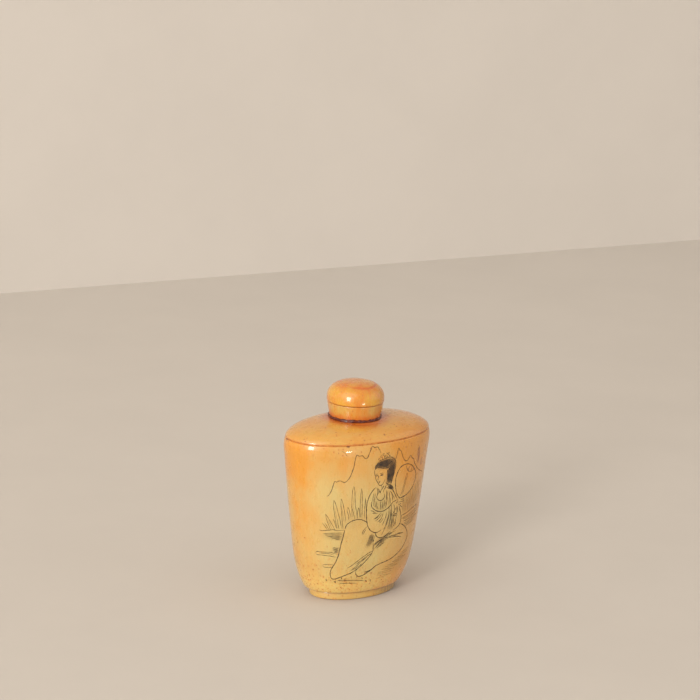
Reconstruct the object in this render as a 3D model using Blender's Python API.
"""A small snuff bottle of stained bone: oval body, shoulder and foot plates, neck ring and stopper.

Units are metres, +Z is up, +X runs across the broad face, and the front faces -Y.
The origin is on the surface that the bottle stands on, under the middle of its foot.
"""

import math

import bmesh
import bpy

# Clearances
GLUE_GAP = 0.0003  # thickness of the glue line between two pieces of bone
REST_GAP = 0.0003  # between the neck's rim and the stopper that rests on it
PLUG_CLEARANCE = 0.0003  # all round the stopper's plug, in the mouth

# Body: an oval tube that tapers down to a drawn-in heel
BODY_HEIGHT = 0.0460
BODY_WIDTH = 0.0479  # at the widest place, just under the shoulder
BODY_DEPTH = 0.0286  # there too
BODY_OVAL = 2.06  # 2 is an ellipse, and more is squarer
SIDE_TAPER = 0.140  # how far each narrow side comes in, for each metre down
FACE_TAPER = 0.042  # how far each broad face comes in, for each metre down
HEEL_HEIGHT = 0.0163
HEEL_INSET = 0.0024  # how far the heel draws in beyond the taper
HEEL_POWER = 3.3
EDGE_HEIGHT = 0.0030  # the worn rounding along the top edge of the wall
EDGE_INSET = 0.0005
WALL = 0.0030

# Shoulder plate: a domed oval with a round flat seat for the neck
SHOULDER_RISE = 0.00445  # of the whole dome, as if it had no seat
SHOULDER_FLATNESS = 3.0  # how far out the dome stays flat
SHOULDER_STEEPNESS = 0.626  # how upright it meets its rim: less is steeper
SEAT_RISE = 0.00425
SEAT_MARGIN = 0.0004  # the flat seat's width beyond the neck's foot

# Foot plate
FOOT_HEIGHT = 0.0023
FOOT_INSET = 0.0012  # how far the foot stands in from the body's lower edge
FOOT_EDGE = 0.0004  # rounding of its lower edge

# Neck ring: a short collar that flares to its rim
NECK_FOOT_DIAMETER = 0.0148
NECK_RIM_DIAMETER = 0.0164
NECK_HEIGHT = 0.0045
NECK_EDGE = 0.0003
MOUTH_DIAMETER = 0.0075

# Stopper: a turned dome with a plug below
STOPPER_DIAMETER = 0.0168
STOPPER_HEIGHT = 0.00575
STOPPER_EDGE_HEIGHT = 0.0006  # from its lower face to its widest place
STOPPER_EDGE_INSET = 0.0002
STOPPER_SQUARENESS = 2.9  # 2 is a round dome, and more is flatter on top
PLUG_LENGTH = 0.0050
PLUG_CHAMFER = 0.0005

# Where the neck and stopper stand, a little off the middle as the maker left them
NECK_OFFSET_X = -0.0013

# Fineness of the facets
OVAL_SIDES = 72
ROUND_SIDES = 48
HEEL_STEPS = 7
EDGE_STEPS = 3
DOME_STEPS = 8
STOPPER_STEPS = 9
SHARP_ANGLE = math.radians(38)

# Heights of the joints, from the foot up
body_bottom = FOOT_HEIGHT + GLUE_GAP
body_top = body_bottom + BODY_HEIGHT
plate_bottom = body_top + GLUE_GAP
neck_seat = plate_bottom + SEAT_RISE
neck_bottom = neck_seat + GLUE_GAP
neck_top = neck_bottom + NECK_HEIGHT
stopper_bottom = neck_top + REST_GAP


def clear_scene():
    for old in list(bpy.data.objects):
        bpy.data.objects.remove(old)


def bone(name, colour, roughness):
    """A polished bone material of one colour."""
    material = bpy.data.materials.new(name)
    material.use_nodes = True
    shader = material.node_tree.nodes["Principled BSDF"]
    shader.inputs["Base Color"].default_value = (*colour, 1.0)
    shader.inputs["Roughness"].default_value = roughness
    shader.inputs["Metallic"].default_value = 0.0
    return material


def finish(name, mesh_builder, material):
    """Turns a bmesh into a named, smooth-shaded object."""
    bmesh.ops.recalc_face_normals(mesh_builder, faces=mesh_builder.faces[:])
    mesh = bpy.data.meshes.new(name)
    mesh_builder.to_mesh(mesh)
    mesh_builder.free()
    mesh.shade_smooth()
    mesh.set_sharp_from_angle(angle=SHARP_ANGLE)
    mesh.materials.append(material)
    piece = bpy.data.objects.new(name, mesh)
    bpy.context.scene.collection.objects.link(piece)
    return piece


def oval(half_width, half_depth, exponent, z, centre_x=0.0):
    """Points of a superellipse at height z, at even angles about its middle."""
    points = []
    for step in range(OVAL_SIDES):
        angle = 2 * math.pi * step / OVAL_SIDES
        across, along = math.cos(angle), math.sin(angle)
        reach = abs(across / half_width) ** exponent + abs(along / half_depth) ** exponent
        radius = reach ** (-1 / exponent)
        points.append((centre_x + radius * across, radius * along, z))
    return points


def loft(rings, closed):
    """Skins rings of points in turn. A closed loft runs back to its first ring, an open one gets end caps."""
    builder = bmesh.new()
    loops = [[builder.verts.new(point) for point in ring] for ring in rings]
    following = loops[1:] + loops[:1] if closed else loops[1:]
    for lower, upper in zip(loops, following):
        for side in range(len(lower)):
            builder.faces.new((lower[side - 1], lower[side], upper[side], upper[side - 1]))
    if not closed:
        builder.faces.new(loops[0])
        builder.faces.new(loops[-1])
    return builder


def turned(profile, on_axis):
    """Spins (radius, height) points about the neck's axis. A profile off the axis is a closed outline."""
    builder = bmesh.new()
    corners = [builder.verts.new((NECK_OFFSET_X + radius, 0.0, z)) for radius, z in profile]
    ends = corners[1:] if on_axis else corners[1:] + corners[:1]
    edges = [builder.edges.new(pair) for pair in zip(corners, ends)]
    bmesh.ops.spin(
        builder,
        geom=corners + edges,
        axis=(0, 0, 1),
        cent=(NECK_OFFSET_X, 0, 0),
        angle=2 * math.pi,
        steps=ROUND_SIDES,
        use_merge=True,
    )
    bmesh.ops.remove_doubles(builder, verts=builder.verts[:], dist=1e-6)
    return builder


def body_half_sizes(z):
    """The body's half width and half depth at height z: a straight taper, a heel and a rounded top edge."""
    below_edge = max(body_top - EDGE_HEIGHT - z, 0.0)
    heel = max(body_bottom + HEEL_HEIGHT - z, 0.0) / HEEL_HEIGHT
    edge = max(z - (body_top - EDGE_HEIGHT), 0.0) / EDGE_HEIGHT
    inset = HEEL_INSET * heel**HEEL_POWER + EDGE_INSET * edge**2
    half_width = BODY_WIDTH / 2 - SIDE_TAPER * below_edge - inset
    half_depth = BODY_DEPTH / 2 - FACE_TAPER * below_edge - inset
    return half_width, half_depth


def body_levels():
    """Heights of the body's rings, which are close together in the heel and at the top edge."""
    heel = [body_bottom + HEEL_HEIGHT * step / HEEL_STEPS for step in range(HEEL_STEPS)]
    straight = [body_bottom + HEEL_HEIGHT, body_top - EDGE_HEIGHT]
    edge = [body_top - EDGE_HEIGHT * (1 - (step + 1) / EDGE_STEPS) for step in range(EDGE_STEPS)]
    return heel + straight + edge


def body_ring(z, inset=0.0):
    half_width, half_depth = body_half_sizes(z)
    return oval(half_width - inset, half_depth - inset, BODY_OVAL, z)


def make_body(material):
    """The tube of bone: its outside from the heel up, then its inside back down."""
    outside = [body_ring(z) for z in body_levels()]
    inside = [body_ring(z, WALL) for z in reversed(body_levels())]
    return finish("body", loft(outside + inside, closed=True), material)


def make_foot_plate(material):
    """The oval plate that the bottle stands on, with a softened lower edge."""
    half_width, half_depth = body_half_sizes(body_bottom)
    half_width -= FOOT_INSET
    half_depth -= FOOT_INSET
    rings = []
    for step in range(EDGE_STEPS + 1):
        turn = math.pi / 2 * step / EDGE_STEPS
        inset = FOOT_EDGE * (1 - math.sin(turn))
        height = FOOT_EDGE * (1 - math.cos(turn))
        rings.append(oval(half_width - inset, half_depth - inset, BODY_OVAL, height))
    rings.append(oval(half_width, half_depth, BODY_OVAL, FOOT_HEIGHT))
    return finish("foot_plate", loft(rings, closed=False), material)


def dome_height(x, y):
    """Height of the shoulder's dome over a point: it is flat in the middle and meets its oval rim upright."""
    rim_width, rim_depth = body_half_sizes(body_top)
    reach = abs(x / rim_width) ** BODY_OVAL + abs(y / rim_depth) ** BODY_OVAL
    radius = min(reach ** (1 / BODY_OVAL), 1.0)
    return plate_bottom + SHOULDER_RISE * (1 - radius**SHOULDER_FLATNESS) ** SHOULDER_STEEPNESS


def shoulder_ring(share):
    """A ring of the shoulder, from the round flat neck seat at share 0 to the oval rim at share 1."""
    rim_width, rim_depth = body_half_sizes(body_top)
    seat = NECK_FOOT_DIAMETER / 2 + SEAT_MARGIN
    inner = oval(seat, seat, 2, neck_seat, NECK_OFFSET_X)
    outer = oval(rim_width, rim_depth, BODY_OVAL, plate_bottom)
    if share == 0:
        return inner
    if share == 1:
        return outer
    points = []
    for near, far in zip(inner, outer):
        x = near[0] + (far[0] - near[0]) * share
        y = near[1] + (far[1] - near[1]) * share
        points.append((x, y, dome_height(x, y)))
    return points


def make_shoulder_plate(material):
    """The domed plate: its top from rim to seat, then down through the mouth and out along its underside."""
    shares = [1 - (step / DOME_STEPS) ** 2 for step in range(DOME_STEPS + 1)]
    dome = [shoulder_ring(share) for share in shares]
    mouth = MOUTH_DIAMETER / 2
    hole = [oval(mouth, mouth, 2, z, NECK_OFFSET_X) for z in (neck_seat, plate_bottom)]
    return finish("shoulder_plate", loft(dome + hole, closed=True), material)


def make_neck_ring(material):
    """The collar, turned with its mouth through it and its edges just broken."""
    foot, rim = NECK_FOOT_DIAMETER / 2, NECK_RIM_DIAMETER / 2
    mouth = MOUTH_DIAMETER / 2
    profile = [
        (mouth, neck_bottom),
        (foot - NECK_EDGE, neck_bottom),
        (foot, neck_bottom + NECK_EDGE),
        (rim, neck_top - NECK_EDGE),
        (rim - NECK_EDGE, neck_top),
        (mouth, neck_top),
    ]
    return finish("neck_ring", turned(profile, on_axis=False), material)


def stopper_dome():
    """Outline of the dome from its widest place to its top: a superellipse of STOPPER_SQUARENESS."""
    points = []
    rise = STOPPER_HEIGHT - STOPPER_EDGE_HEIGHT
    for step in range(STOPPER_STEPS):
        turn = math.pi / 2 * step / STOPPER_STEPS
        radius = STOPPER_DIAMETER / 2 * math.cos(turn) ** (2 / STOPPER_SQUARENESS)
        height = rise * math.sin(turn) ** (2 / STOPPER_SQUARENESS)
        points.append((radius, stopper_bottom + STOPPER_EDGE_HEIGHT + height))
    return points


def make_stopper(material):
    """The turned stopper, whose plug hangs in the mouth."""
    plug = MOUTH_DIAMETER / 2 - PLUG_CLEARANCE
    plug_end = stopper_bottom - PLUG_LENGTH
    profile = [
        (0.0, plug_end),
        (plug - PLUG_CHAMFER, plug_end),
        (plug, plug_end + PLUG_CHAMFER),
        (plug, stopper_bottom),
        (STOPPER_DIAMETER / 2 - STOPPER_EDGE_INSET, stopper_bottom),
        *stopper_dome(),
        (0.0, stopper_bottom + STOPPER_HEIGHT),
    ]
    return finish("stopper", turned(profile, on_axis=True), material)


clear_scene()
make_body(bone("body_bone", (0.80, 0.50, 0.19), 0.28))
make_shoulder_plate(bone("shoulder_bone", (0.78, 0.46, 0.16), 0.28))
make_foot_plate(bone("foot_bone", (0.72, 0.47, 0.19), 0.35))
make_neck_ring(bone("neck_bone", (0.78, 0.44, 0.14), 0.25))
make_stopper(bone("stopper_bone", (0.80, 0.42, 0.11), 0.22))
